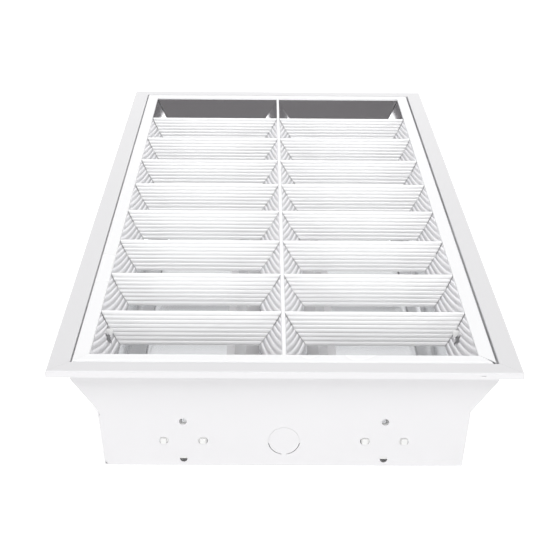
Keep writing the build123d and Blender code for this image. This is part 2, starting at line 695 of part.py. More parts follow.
def ballast_base():
    """Tray of the electronic ballast, with a screw lug at each end."""
    low = SHEET + BALLAST_SHEET
    right = [(BALLAST_HALF_WIDTH, SHEET + BALLAST_WALL), (BALLAST_HALF_WIDTH, SHEET)]
    path = [(-x, z) for x, z in right] + list(reversed(right))
    tray = along_y(folded_sheet(path, BALLAST_SHEET, [FOLD] * 2), -BALLAST_END, BALLAST_END)
    tray += block(about(0, LUG_HALF_WIDTH), about(0, BALLAST_END + BALLAST_LUG), (SHEET, low))
    for y in (-BALLAST_SCREW_Y, BALLAST_SCREW_Y):
        tray -= disc(SCREW_RADIUS + FINE, 0, 2 * low, y=y)
    return tray


def ballast_case():
    """Closed lid of the ballast, seated in its tray, with its edges rounded."""
    case = block(about(0, BALLAST_INNER), about(0, BALLAST_HALF_LENGTH),
                 (SHEET + BALLAST_SHEET, SHEET + BALLAST_HEIGHT))
    return fillet(case.edges().filter_by(Axis.Y).group_by(Axis.Z)[-1], BALLAST_ROUND)


def ballast_terminal(mains):
    """Push-in terminal strip at the far end of the ballast; one end takes the mains too."""
    strip = block(about(0, BALLAST_INNER), (BALLAST_HALF_LENGTH, BALLAST_END),
                  (SHEET + BALLAST_SHEET, SHEET + TERMINAL_HEIGHT))
    entries = [(-LAMP_LEAD_X, LAMP_LEAD_Z), (LAMP_LEAD_X, LAMP_LEAD_Z)]
    if mains:
        entries += [(x, MAINS_Z) for x in BLOCK_WAYS_X]
    for x, z in entries:
        strip -= bar_along_y(LEAD_RADIUS + FINE, x, z, BALLAST_END - LEAD_ENTRY, LENGTH / 2)
    return strip


def terminal_block():
    """Mains connector with one clamp screw and a through entry for each way."""
    body = block(about(0, BLOCK_WIDTH / 2), about(BLOCK_Y, BLOCK_LENGTH / 2),
                 (SHEET, SHEET + BLOCK_HEIGHT))
    top = SHEET + BLOCK_HEIGHT
    body = chamfer(body.edges().filter_by(Axis.X).group_by(Axis.Z)[-1], BLOCK_BEVEL)
    for x in BLOCK_WAYS_X:
        body -= bar_along_y(BLOCK_ENTRY, x, MAINS_Z, BLOCK_Y - BLOCK_LENGTH,
                            BLOCK_Y + BLOCK_LENGTH)
        body -= disc(BLOCK_SCREW + FINE, top - BLOCK_SCREW_DEPTH, top + 1, x, BLOCK_Y)
    return body


def terminal_screws():
    """Slotted clamp screws of the mains connector."""
    top = SHEET + BLOCK_HEIGHT - BLOCK_SCREW_SUNK
    screws = []
    for x in BLOCK_WAYS_X:
        stud = disc(BLOCK_SCREW, SHEET + BLOCK_HEIGHT - BLOCK_SCREW_DEPTH, top, x, BLOCK_Y)
        slot = block(about(x, BLOCK_SCREW), about(BLOCK_Y, BLOCK_SCREW_SLOT / 2),
                     (top - BLOCK_SCREW_SLOT, HEIGHT))
        screws.append(stud - slot)
    return group(screws)


def cable_grommet():
    """Rubber grommet in the back for the mains cable, flush with the outside."""
    wall = GROMMET_BORE + GROMMET_WALL
    half = outline([(GROMMET_BORE, 0), (wall, 0), (wall, SHEET), (wall + GROMMET_LIP, SHEET),
                    (wall + GROMMET_LIP, GROMMET_HEIGHT - GROMMET_BEVEL),
                    (wall + GROMMET_LIP - GROMMET_BEVEL, GROMMET_HEIGHT),
                    (GROMMET_BORE, GROMMET_HEIGHT)])
    return Pos(0, GROMMET_Y, 0) * revolve(Plane.XZ * half, Axis.Z)


def bend_radii(points):
    """As large a radius at each corner of a lead as its two runs allow."""
    radii = []
    for a, b, c in zip(points, points[1:], points[2:]):
        before = Vector(*b) - Vector(*a)
        after = Vector(*c) - Vector(*b)
        half_turn = math.radians(before.get_angle(after)) / 2
        radii.append(0.45 * min(before.length, after.length) / math.tan(half_turn))
    return radii


def lamp_lead_route():
    """Corners of the far right lamp's lead, from its lampholder to the ballast."""
    side = LAMP_X - HOLDER_HALF
    middle = (HOLDER_FACE + END_IN) / 2
    end = BALLAST_END - LEAD_ENTRY
    last = end + LAMP_LEAD_LAST
    bends = [(x, middle + share * (last - middle)) for x, share in LAMP_LEAD_BENDS]
    route = [(side, middle), (side - LAMP_LEAD_FREE, middle), *bends, (LAMP_LEAD_X, last),
             (LAMP_LEAD_X, end)]
    return [(x, y, LAMP_LEAD_Z) for x, y in route]


def lamp_leads():
    """Sheathed leads from the four lampholders to the two ends of the ballast."""
    points = lamp_lead_route()
    route = FilletPolyline(*points, radius=bend_radii(points))
    start = Plane(origin=route @ 0, z_dir=route % 0)
    far_right = sweep(start * Circle(LEAD_RADIUS), path=Wire(route.edges()))
    return group(four_corners(far_right).values())


def mains_leads():
    """Short leads from the mains connector to the far terminal strip of the ballast."""
    start = BALLAST_END - LEAD_ENTRY
    end = BLOCK_Y - BLOCK_LENGTH / 2 + LEAD_ENTRY
    return group([bar_along_y(LEAD_RADIUS, x, MAINS_Z, start, end) for x in BLOCK_WAYS_X])


# ---- Catches ------------------------------------------------------------------------------
def clip_section(pin_x):
    """U-shaped mouth and stem of a right catch clip in X and Z."""
    reach = PIN_RADIUS + PIN_PLAY
    high = PIN_Z + CLIP_ARM
    low = PIN_Z - reach
    path = [(pin_x + reach, high), (pin_x + reach, low), (pin_x - reach, low),
            (pin_x - reach, high)]
    mouth = folded_sheet(path, CLIP_SHEET, [PIN_RADIUS] * 2)
    foot = slope_z(pin_x)
    stem = outline([(pin_x, foot), (pin_x, low - CLIP_SHEET / 2),
                    (pin_x - CLIP_SHEET, low - CLIP_SHEET / 2), (pin_x - CLIP_SHEET, foot)])
    return mouth + stem


def catch_clip(pin_x, y):
    """Spring clip on the right sloping wall: two mouths on one riveted foot."""
    inner = CATCH_PLATE / 2 + CLIP_SIDE_GAP
    section = clip_section(pin_x)
    clip = along_y(section, y - inner - CLIP_WIDTH, y - inner)
    clip += along_y(section, y + inner, y + inner + CLIP_WIDTH)
    frame = sloping_wall(slope_z(pin_x), y)
    foot = Pos(0, -CLIP_FOOT / 2) * Rectangle(2 * (inner + CLIP_WIDTH), CLIP_FOOT)
    clip += extrude(frame * foot, -CLIP_SHEET)
    return clip - rivet_hole(sloping_wall(clip_rivet_z(pin_x), y))


def catch_clips():
    """The four clips, each at its own pin."""
    clips = []
    for side in (-1, 1):
        for y in (-CATCH_Y, CATCH_Y):
            clips.append(on_side(catch_clip(pin_distance(side), y), side))
    return group(clips)


def louver_catch():
    """Far right catch: pin, plate behind the side reflector and head inside the cell."""
    plate = block(about(CATCH_X, PIN_RADIUS), about(CATCH_Y, CATCH_PLATE / 2), (CATCH_LOW, PIN_Z))
    catch = plate + bar_along_y(PIN_RADIUS, CATCH_X, PIN_Z, *about(CATCH_Y, PIN_LENGTH / 2))
    head = block((leaning_x(FLANK, CATCH_HEAD_Z) - CATCH_HEAD_IN, CATCH_X - PIN_RADIUS),
                 about(CATCH_Y, CATCH_HEAD_WIDTH / 2), about(CATCH_HEAD_Z, CATCH_HEAD_HEIGHT / 2))
    tip = head.edges().filter_by(Axis.Y).group_by(Axis.X)[0]
    return catch + chamfer(tip, CATCH_HEAD_BEVEL)


# ---- Louver -------------------------------------------------------------------------------
def side_reflector():
    """Right side reflector with its blade slots, catch windows and cross cut-outs."""
    length = LOUVER_HALF_LENGTH - END_RAIL_WIDTH / 2
    mirror_sheet = along_y(curved_mirror(FLANK), -length, length)
    outside = (LOUVER_HALF_WIDTH / 2, CATCH_X)
    for y in blade_places():
        for slot in blade_slots(y):
            mirror_sheet -= block(outside, *slot)
    grow = CATCH_WINDOW_PLAY
    high = about(CATCH_HEAD_Z, CATCH_HEAD_HEIGHT / 2 + grow)
    for end in (-1, 1):
        y = end * CATCH_Y
        mirror_sheet -= block(outside, about(y, CATCH_HEAD_WIDTH / 2 + grow), high)
        cross_y = end * (CATCH_Y + CROSS_CUT_Y)
        bar = CROSS_CUT_BAR / 2
        mirror_sheet -= block(outside, about(cross_y, CROSS_CUT_LONG / 2),
                              about(CATCH_HEAD_Z, bar))
        mirror_sheet -= block(outside, about(cross_y, bar),
                              about(CATCH_HEAD_Z, CROSS_CUT_TALL / 2))
    return mirror_sheet


def end_reflector():
    """Far end reflector, trimmed to the side reflectors."""
    sheet = along_x(curved_mirror(END), -LOUVER_HALF_WIDTH, LOUVER_HALF_WIDTH)
    return sheet & along_y(room_between(FLANK, FLANK), 0, LENGTH)


def centre_blade():
    """Long V-shaped blade between the two rows of cells."""
    outer = leaning_arc(CENTRE)
    inner = leaning_arc(CENTRE, MIRROR_SHEET)
    solid = ring_of([ThreePointArc(*across(outer)), ThreePointArc(*reversed(outer))])
    hollow = ring_of([ThreePointArc(*across(inner)), ThreePointArc(*reversed(inner))])
    nose = Pos(0, BLADE_TOP) * Rectangle(2 * CENTRE_LEAN, 2 * MIRROR_SHEET)
    blade = along_y(solid - (hollow - nose), -LOUVER_HALF_LENGTH, LOUVER_HALF_LENGTH)
    blade &= along_x(room_between(END, END), -LOUVER_HALF_WIDTH, LOUVER_HALF_WIDTH)
    for y in blade_places():
        for slot in blade_slots(y):
            blade -= block(about(0, LOUVER_HALF_WIDTH / 4), *slot)
    hem, height = hem_room(END_RAIL_INNER)
    notch = block(about(0, CENTRE_LEAN), hem, height)
    return blade - notch - mirrored_y(notch)


def hem_room(inner):
    """Room across and up that a blade leaves free for the hem of a rail."""
    return (inner - BLADE_PLAY, inner + RAIL_WIDTH), (HEIGHT - RAIL_HEM - BLADE_PLAY, HEIGHT)


def blade_places():
    """Y of the cross-blades, from the near end to the far end."""
    first = -(BLADES - 1) / 2 * BLADE_PITCH
    return [first + index * BLADE_PITCH for index in range(BLADES)]


def leg_point(share, out):
    """Point of a cross-blade's far leg: share of the way down, distance outside its line."""
    run = BLADE_BASE_HALF - BLADE_NOSE_HALF
    length = math.hypot(run, BLADE_HEIGHT)
    y = BLADE_NOSE_HALF + share * run + out * BLADE_HEIGHT / length
    return y, BLADE_TOP - share * BLADE_HEIGHT + out * run / length


def blade_section():
    """Folded V with ribs rolled into both legs, in Y and Z about the blade's own plane."""
    outer, inner = [leg_point(0, 0)], []
    for rib in range(RIBS):
        crest = (rib + 0.5) / RIBS
        groove = (rib + 1) / RIBS
        outer += [leg_point(crest, RIB_HEIGHT), leg_point(groove, 0)]
        inner += [leg_point(crest, RIB_HEIGHT - BLADE_SHEET), leg_point(groove, -BLADE_SHEET)]
    apex = (leg_point(0, -BLADE_SHEET)[0], BLADE_TOP - BLADE_SHEET)
    leg = outer + list(reversed([apex] + inner))
    other = [(-y, z) for y, z in leg]
    nose = [leg_point(0, 0), apex, (-apex[0], apex[1]), (-leg_point(0, 0)[0], BLADE_TOP)]
    return outline(leg) + outline(other) + outline(nose)


def tab_share():
    """Shares of a leg's length where its end tabs start and stop."""
    middle = (BLADE_TOP - TAB_Z) / BLADE_HEIGHT
    half = BLADE_TAB_HEIGHT / 2 / BLADE_HEIGHT
    return middle - half, middle + half


def blade_slots(y):
    """Y and Z limits of the slots that a cross-blade's tabs go through."""
    start, stop = tab_share()
    inner = leg_point(start, -BLADE_SHEET)[0] - BLADE_SLOT_PLAY
    outer = leg_point(stop, 0)[0] + BLADE_SLOT_PLAY
    z = about(TAB_Z, BLADE_TAB_HEIGHT / 2 + 2 * BLADE_SLOT_PLAY)
    return [((y + inner, y + outer), z), ((y - outer, y - inner), z)]


def half_blade(y):
    """Right half of a cross-blade: between the centre blade and the side reflector."""
    room = along_y(blade_room(), *about(0, BLADE_PITCH / 2))
    blade = along_x(blade_section(), 0, LOUVER_HALF_WIDTH) & room
    hem, height = hem_room(RAIL_INNER)
    blade -= block(hem, about(0, BLADE_PITCH / 2), height)
    start, stop = tab_share()
    tab = outline([leg_point(start, 0), leg_point(stop, 0), leg_point(stop, -BLADE_SHEET),
                   leg_point(start, -BLADE_SHEET)])
    ends = (-leaning_x(CENTRE, TAB_Z), leaning_x(FLANK, TAB_Z))
    for leg in (tab, mirrored_x(tab)):
        for end in ends:
            blade += along_x(leg, *about(end, BLADE_TAB_LENGTH))
    return Pos(0, y, 0) * blade


def rail_section(inner, outer):
    """Section of a louver rail, from its outer leg over to its inner hem."""
    path = [(outer, HEIGHT - RAIL_LEG), (outer, HEIGHT), (inner, HEIGHT),
            (inner, HEIGHT - RAIL_HEM)]
    return folded_sheet(path, RAIL_SHEET, [RAIL_CORNER, RAIL_SHEET / 2])


def side_rail():
    """Right rail, mitred to its own trapezium."""
    rail = along_y(rail_section(RAIL_INNER, LOUVER_HALF_WIDTH), -LOUVER_HALF_LENGTH,
                   LOUVER_HALF_LENGTH)
    outer = LOUVER_HALF_LENGTH - MITRE_GAP
    inner = END_RAIL_INNER - MITRE_GAP
    plan = outline([(RAIL_INNER, inner), (LOUVER_HALF_WIDTH, outer), (LOUVER_HALF_WIDTH, -outer),
                    (RAIL_INNER, -inner)])
    return rail & extrude(plan, 2 * HEIGHT)


def end_rail(open_corner=0.0):
    """Far rail; an open corner leaves its right mitre standing apart towards the outside."""
    rail = along_x(rail_section(END_RAIL_INNER, LOUVER_HALF_LENGTH), -LOUVER_HALF_WIDTH,
                   LOUVER_HALF_WIDTH)
    plan = outline([(-RAIL_INNER, END_RAIL_INNER), (-LOUVER_HALF_WIDTH, LOUVER_HALF_LENGTH),
                    (LOUVER_HALF_WIDTH - open_corner, LOUVER_HALF_LENGTH),
                    (RAIL_INNER, END_RAIL_INNER)])
    return rail & extrude(plan, 2 * HEIGHT)


# ---- All nodes ----------------------------------------------------------------------------
def housing_nodes():
    """Everything that stays in the ceiling, but for the lampholders."""
    near = end_plate_near()
    trough = lamp_reflector()
    bracket = cover_bracket()
    cover_screws = [screw(0, y, COVER_HEIGHT, COVER_SCREW) for y in (-BRACKET_Y, BRACKET_Y)]
    lug = SHEET + BALLAST_SHEET
    ballast_screws = [screw(0, y, lug, lug) for y in (-BALLAST_SCREW_Y, BALLAST_SCREW_Y)]
    strips = [ballast_terminal(True), mirrored_y(ballast_terminal(False))]
    return {
        "housing_body": housing_body(),
        "end_plate_near": near,
        "end_plate_far": turned(near),
        "housing_rivets": rivets(),
        "lamp_reflector_left": mirrored_x(trough),
        "lamp_reflector_right": trough,
        "gear_cover": gear_cover(),
        "cover_brackets": group([bracket, mirrored_y(bracket)]),
        "cover_screws": group(cover_screws),
        "ballast_base": ballast_base(),
        "ballast_case": ballast_case(),
        "ballast_terminals": group(strips),
        "ballast_screws": group(ballast_screws),
        "mains_terminal_block": terminal_block(),
        "mains_terminal_screws": terminal_screws(),
        "earth_screw": screw(EARTH_X, BLOCK_Y, SHEET, SHEET),
        "cable_grommet": cable_grommet(),
        "lamp_leads": lamp_leads(),
        "mains_leads": mains_leads(),
        "catch_clips": catch_clips(),
    }


def holder_nodes():
    """Lampholders, their rotors and their contact springs."""
    nodes = {}
    for place, shape in four_corners(lampholder()).items():
        nodes["lampholder_" + place] = shape
    for place, shape in four_corners(lampholder_rotor()).items():
        nodes["lampholder_rotor_" + place] = shape
    springs = []
    for spring in holder_contacts():
        springs += four_corners(spring).values()
    nodes["lampholder_contacts"] = group(springs)
    return nodes


def louver_nodes():
    """The louver, drawn about its own centre line and then set in its place."""
    rail = side_rail()
    reflector = side_reflector()
    end = end_reflector()
    nodes = {
        "louver_rail_left": mirrored_x(rail),
        "louver_rail_right": rail,
        "louver_rail_far": end_rail(),
        "louver_rail_near": mirrored_y(end_rail(OPEN_MITRE)),
        "side_reflector_left": mirrored_x(reflector),
        "side_reflector_right": reflector,
        "end_reflector_far": end,
        "end_reflector_near": mirrored_y(end),
        "centre_blade": centre_blade(),
    }
    for place, shape in four_corners(louver_catch()).items():
        nodes["louver_catch_" + place] = shape
    for number, y in enumerate(blade_places(), start=1):
        blade = half_blade(y)
        nodes[f"cross_blade_right_{number}"] = blade
        nodes[f"cross_blade_left_{number}"] = mirrored_x(blade)
    return {name: Pos(LOUVER_SHIFT, 0, 0) * shape for name, shape in nodes.items()}


def main():
    """Write one STEP file for each node."""
    os.makedirs("parts", exist_ok=True)
    nodes = {**housing_nodes(), **holder_nodes(), **louver_nodes()}
    for name, shape in nodes.items():
        export_step(shape, f"parts/{name}.step")
    print(len(nodes), "nodes, smallest bend of a lead", round(min(bend_radii(lamp_lead_route())), 1))


main()
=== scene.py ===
"""Looks of a recessed troffer light: paint, mirror sheet, ribbed blades, plastics and light.

All lengths are in metres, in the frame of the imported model: X across the light, Y along it
and +Z out of the louver face, with the back of the housing at Z = 0.
"""
import json
import math

import bmesh
import bpy
from mathutils import Matrix, Vector


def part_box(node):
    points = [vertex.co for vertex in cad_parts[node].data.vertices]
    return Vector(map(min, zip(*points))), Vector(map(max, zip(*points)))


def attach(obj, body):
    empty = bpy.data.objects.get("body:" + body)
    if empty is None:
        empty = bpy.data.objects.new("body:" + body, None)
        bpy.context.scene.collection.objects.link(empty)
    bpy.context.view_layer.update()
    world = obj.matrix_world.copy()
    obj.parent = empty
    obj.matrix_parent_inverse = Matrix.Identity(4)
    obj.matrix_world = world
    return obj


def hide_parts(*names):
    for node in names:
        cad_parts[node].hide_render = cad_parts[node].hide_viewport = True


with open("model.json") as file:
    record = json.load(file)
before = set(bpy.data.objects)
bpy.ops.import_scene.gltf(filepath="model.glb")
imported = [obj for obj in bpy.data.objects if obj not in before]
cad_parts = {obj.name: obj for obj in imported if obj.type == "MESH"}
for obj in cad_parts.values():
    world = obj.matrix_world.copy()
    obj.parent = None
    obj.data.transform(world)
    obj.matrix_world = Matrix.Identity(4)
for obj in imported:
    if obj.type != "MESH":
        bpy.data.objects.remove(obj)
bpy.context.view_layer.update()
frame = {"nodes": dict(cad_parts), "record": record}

MM = 0.001

# ---- Camera ---------------------------------------------------------------------------------
CAMERA_PLACE = Vector((-13.5, -973.4, 456.0)) * MM
CAMERA_DOWN = 24.93                 # degrees below the horizon
CAMERA_TURN = -0.56                 # degrees to the left of +Y
CAMERA_ROLL = 0.55
CAMERA_LENS = 82.36                 # mm
CAMERA_SENSOR = 36.0                # mm

# ---- Louver sizes ---------------------------------------------------------------------------
LOUVER_SHIFT = -0.3 * MM
FACE_Z = 76.0 * MM
BASE_Z = 51.2 * MM
RAIL_UNDER = 75.4 * MM
RAIL_INNER = 122.8 * MM
RAIL_HEM = 1.8 * MM
BLADE_TOP = 74.6 * MM
BLADE_HEIGHT = BLADE_TOP - BASE_Z
BLADE_PLAY = 0.35 * MM
BLADE_NOSE_HALF = 0.8 * MM
BLADE_NOSE_DROP = 0.4 * MM          # fall of the rounded nose
BLADE_NOSE_STEPS = 6
BLADE_BASE_HALF = 4.6 * MM
BLADE_SHEET = 0.4 * MM
BLADES = 8
BLADE_PITCH = 60.5 * MM
RIBS = 8
RIB_CREST = 0.45 * MM
RIB_DEPTH = 0.48 * MM               # rounded crest to the groove beside it
RIB_STEPS = 12                      # points along each rib
TAB_HALF_HEIGHT = 2.0 * MM
TAB_LENGTH = 2.0 * MM
TAB_PLACE = 0.5                     # share of the way down the blade
SLOT_PLAY = 0.15 * MM
MIRROR_SHEET = 0.4 * MM
MIRROR_FLANGE = 6.0 * MM
CURVE_STEP = 1.3 * MM               # height between the rows of a curved sheet
LEAST_STEP = 0.01 * MM              # rows or columns nearer than this are one
SHEET_CREASE = 35.0                 # degrees from which an edge of a sheet or catch is sharp
BLADE_CREASE = 50.0
CENTRE_NOSE = 0.25 * MM             # width and height of the fold's bevel
END_RAIL_INNER = 274.6 * MM
FACE_REACH = 280.0 * MM             # beyond both ends of the centre blade

# ---- Catches and the cut-outs beside them ---------------------------------------------------
CATCH_X = 127.2 * MM                # axis of the pin
CATCH_Y = 219.5 * MM
PIN_Z = 72.3 * MM
PIN_RADIUS = 1.5 * MM
PIN_HALF_LENGTH = 6.0 * MM
CATCH_PLATE_HALF = 2.0 * MM
CATCH_LOW = 57.5 * MM
CATCH_ROUND = 0.3 * MM
CATCH_ROUND_STEPS = 3
PIN_SIDES = 32
HEAD_IN = 2.6 * MM                  # how far the head stands out of the reflector
HEAD_Z = 62.9 * MM
HEAD_HALF_HEIGHT = 1.8 * MM
HEAD_HALF_WIDTH = 2.3 * MM
HEAD_TAPER = 0.45                   # width of its top as a share of its foot
WINDOW_PLAY = 0.4 * MM
CROSS_Y = 7.5 * MM                  # middle of the cross-shaped cut-out, beside the catch
CROSS_Z = 61.6 * MM
CROSS_HALF_LONG = 4.5 * MM
CROSS_HALF_TALL = 3.5 * MM
CROSS_HALF_BAR = 1.5 * MM

# Height above which the mirror sheets are painted brighter and less metallic: a painted highlight
# along the folded nose of the long centre blade, which is also made rougher.
TOP_HIGHLIGHT_FROM = 74.1 * MM
TOP_HIGHLIGHT_BLEND = 0.2 * MM

# Each curved face: top point, depth, lean towards -X and slope at the top in degrees.
FLANK = ((123.4 * MM, RAIL_UNDER), RAIL_UNDER - BASE_Z, 12.9 * MM, 22.0)
CENTRE = ((-0.9 * MM, BLADE_TOP), BLADE_HEIGHT, 15.3 * MM, 28.5)
END = ((275.6 * MM, RAIL_UNDER), RAIL_UNDER - BASE_Z, 9.0 * MM, 18.0)

# ---- Softened edges of moulded and folded nodes, by material slot ---------------------------
SOFT_EDGES = {"rotor_plastic": 0.25 * MM, "lampholder_plastic": 0.4 * MM,
              "terminal_grey": 0.3 * MM, "terminal_nylon": 0.3 * MM, "ballast_paint": 0.2 * MM}
SOFT_EDGE_STEPS = 2
SOFT_EDGE_FROM = 40.0               # degrees between the faces beside the edge

# ---- Stage and light ------------------------------------------------------------------------
FLOOR_REACH = 12.0
FLOOR_WHITE = (0.8, 0.8, 0.8, 1.0)
FLOOR_GLOW = (0.5, 0.5, 0.5)        # added where the camera or a mirror sees the floor
CARD_GREY = (0.22, 0.212, 0.216, 1.0)
CARD_HALF_WIDTH = 1.6
CARD_Y = -1.9
CARD_TOP = 1.62
WORLD_LIGHT = (0.54, 0.54, 0.545, 1.0)
WORLD_SEEN = (1.0, 1.0, 1.0, 1.0)
LAMP_TARGET = (0.0, -0.05, 0.05)

# Each lamp: name, place, size, power in watts and whether the glossy pieces mirror it.
LAMPS = (
    ("soft_box", (0.0, -1.5, 2.05), (4.0, 1.3), 27.5, True),
    ("fill_left", (-0.9, -1.6, 0.3), (0.8, 0.5), 6.8, False),
    ("fill_right", (0.9, -1.6, 0.3), (0.8, 0.5), 6.8, False),
    ("far_top", (0.0, 1.2, 1.0), (0.8, 0.8), 11.0, False),
)

# Colour sockets of the Mix node, which share their names with its other sockets.
MIX_FIRST, MIX_SECOND, MIX_RESULT = 6, 7, 2


# ---- Shader maths ---------------------------------------------------------------------------
class Value:
    """A socket of a material's node tree that takes part in Python expressions."""

    def __init__(self, paint, socket):
        self.paint = paint
        self.socket = socket

    def maths(self, operation, left, right):
        """A Math node's result from two values."""
        return self.paint.node("ShaderNodeMath", {"operation": operation}, {0: left, 1: right})

    def __add__(self, other):
        return self.maths("ADD", self, other)

    def __radd__(self, other):
        return self.maths("ADD", other, self)

    def __sub__(self, other):
        return self.maths("SUBTRACT", self, other)

    def __rsub__(self, other):
        return self.maths("SUBTRACT", other, self)

    def __mul__(self, other):
        return self.maths("MULTIPLY", self, other)

    def __rmul__(self, other):
        return self.maths("MULTIPLY", other, self)

    def __truediv__(self, other):
        return self.maths("DIVIDE", self, other)

    def clamped(self):
        """The value kept from 0 to 1."""
        return self.maths("MINIMUM", self.maths("MAXIMUM", self, 0.0), 1.0)


class Paint:
    """A material with one Principled shader, built from expressions."""

    def __init__(self, name):
        self.material = bpy.data.materials.new(name)
        self.material.use_nodes = True
        self.tree = self.material.node_tree
        self.shader = self.tree.nodes["Principled BSDF"]

    def put(self, socket, value):
        """Sets a socket to a number or colour, or links a value to it."""
        if isinstance(value, Value):
            self.tree.links.new(value.socket, socket)
        else:
            socket.default_value = value

    def node(self, kind, settings=None, values=None, output=0):
        """Adds a node, sets it up and returns one of its outputs."""
        node = self.tree.nodes.new(kind)
        for name, value in (settings or {}).items():
            setattr(node, name, value)
        for key, value in (values or {}).items():
            self.put(node.inputs[key], value)
        return Value(self, node.outputs[output])

    def set(self, **values):
        """Sets the shader's own sockets, named with underscores for spaces."""
        for name, value in values.items():
            self.put(self.shader.inputs[name.replace("_", " ")], value)
        return self

    def place(self, scale=(1.0, 1.0, 1.0)):
        """Place on the object, stretched by a scale along each axis."""
        coordinates = self.node("ShaderNodeTexCoord", output="Object")
        return self.node("ShaderNodeMapping", values={"Vector": coordinates, "Scale": scale})

    def noise(self, size, detail=3.0, stretch=(1.0, 1.0, 1.0)):
        """Noise from 0 to 1 with features of about the given size in metres."""
        return self.node("ShaderNodeTexNoise", values={
            "Vector": self.place(stretch), "Scale": 1.0 / size, "Detail": detail})

    def above(self, height, blend):
        """0 below a height on the object and 1 above it, with a soft step between."""
        coordinates = self.node("ShaderNodeTexCoord", output="Object")
        up = self.node("ShaderNodeSeparateXYZ", values={"Vector": coordinates}, output="Z")
        return ((up - height) / blend).clamped()

    def between(self, share, first, second):
        """Mixes two colours by a share from 0 to 1."""
        return self.node("ShaderNodeMix", {"data_type": "RGBA"}, {
            "Factor": share, MIX_FIRST: colour(first), MIX_SECOND: colour(second)},
            output=MIX_RESULT)

    def bumped(self, height, strength, distance):
        """Sets the shader's normal from a height."""
        normal = self.node("ShaderNodeBump", values={
            "Strength": strength, "Distance": distance, "Height": height})
        return self.set(Normal=normal)


def colour(value):
    """A colour with its alpha; a value that is a socket stays as it is."""
    return value if isinstance(value, Value) else (*value, 1.0)


def darker(tone, share):
    """A colour at a share of its brightness."""
    return tuple(share * part for part in tone)


# ---- Materials ------------------------------------------------------------------------------
def powder_coat(name, light, dark, roughness, orange_peel):
    """White powder coat: slow drift of its tone and a fine orange peel."""
    paint = Paint(name)
    drift = paint.noise(size=0.09, detail=2.0)
    peel = paint.noise(size=0.0011, detail=2.0)
    paint.set(Base_Color=paint.between(drift, dark, light),
              Roughness=roughness + 0.08 * (drift - 0.5))
    paint.set(Coat_Roughness=0.14, IOR=1.5, Coat_Weight=0.6)
    return paint.bumped(peel, strength=orange_peel, distance=0.00012)


def mirror_sheet(name, tone, roughness):
    """Bright anodised sheet with rolling grain along its length; its top is painted brighter and
    less metallic as a painted highlight on the fold, and made rougher.
    """
    paint = Paint(name)
    grain = paint.noise(size=0.0006, stretch=(1.0, 0.01, 1.0))
    haze = paint.noise(size=0.05, detail=2.0)
    # Painted highlight: above this height the sheet turns a brighter, less metallic white,
    # standing in for light that falls on the folded nose from above; it is also rougher.
    top_highlight = paint.above(TOP_HIGHLIGHT_FROM, TOP_HIGHLIGHT_BLEND)
    sheet = paint.between(grain, darker(tone, 0.94), tone)
    top_highlight_tone = (0.96, 0.96, 0.965)
    paint.set(Base_Color=paint.between(top_highlight, sheet, top_highlight_tone), Metallic=1.0 - 0.8 * top_highlight)
    paint.set(Roughness=roughness + 0.03 * grain + 0.02 * haze + 0.2 * top_highlight)
    return paint.bumped(grain, strength=0.04, distance=0.00001)


def satin_blade(name):
    """Satin sheet of the cross-blades: soft sheen with grain along the blade."""
    paint = Paint(name)
    grain = paint.noise(size=0.0005, stretch=(0.02, 1.0, 1.0))
    paint.set(Base_Color=paint.between(grain, (0.95, 0.95, 0.955), (0.98, 0.98, 0.985)))
    paint.set(Metallic=0.12, Roughness=0.2 + 0.05 * grain)
    return paint.bumped(grain, strength=0.015, distance=0.00001)


def moulded(name, light, dark, roughness):
    """Moulded plastic with a fine matt grain."""
    paint = Paint(name)
    cloud = paint.noise(size=0.012, detail=2.0)
    skin = paint.noise(size=0.0004, detail=2.0)
    paint.set(Base_Color=paint.between(cloud, dark, light), Roughness=roughness + 0.1 * skin)
    return paint.bumped(skin, strength=0.12, distance=0.00006)


def plated_steel(name, tone, roughness):
    """Zinc plated steel with patches of its crystals and fine scratches."""
    paint = Paint(name)
    crystal_size = 0.004
    crystals = paint.node("ShaderNodeTexVoronoi", values={
        "Vector": paint.place(), "Scale": 1.0 / crystal_size}, output="Color")
    patch = paint.node("ShaderNodeRGBToBW", values={"Color": crystals})
    scratches = paint.noise(size=0.0004, detail=4.0, stretch=(0.05, 1.0, 1.0))
    wear = 0.7 * patch + 0.3 * scratches
    paint.set(Base_Color=paint.between(wear, darker(tone, 0.82), tone), Metallic=1.0)
    paint.set(Roughness=roughness + 0.12 * patch + 0.06 * scratches)
    return paint.bumped(scratches, strength=0.08, distance=0.00003)


def rubber(name):
    """Black rubber with a dull bloom."""
    paint = Paint(name)
    bloom = paint.noise(size=0.003)
    paint.set(Base_Color=paint.between(bloom, (0.018, 0.018, 0.019), (0.035, 0.035, 0.036)))
    paint.set(Roughness=0.6 + 0.2 * bloom)
    return paint.bumped(paint.noise(size=0.0005), strength=0.2, distance=0.0001)


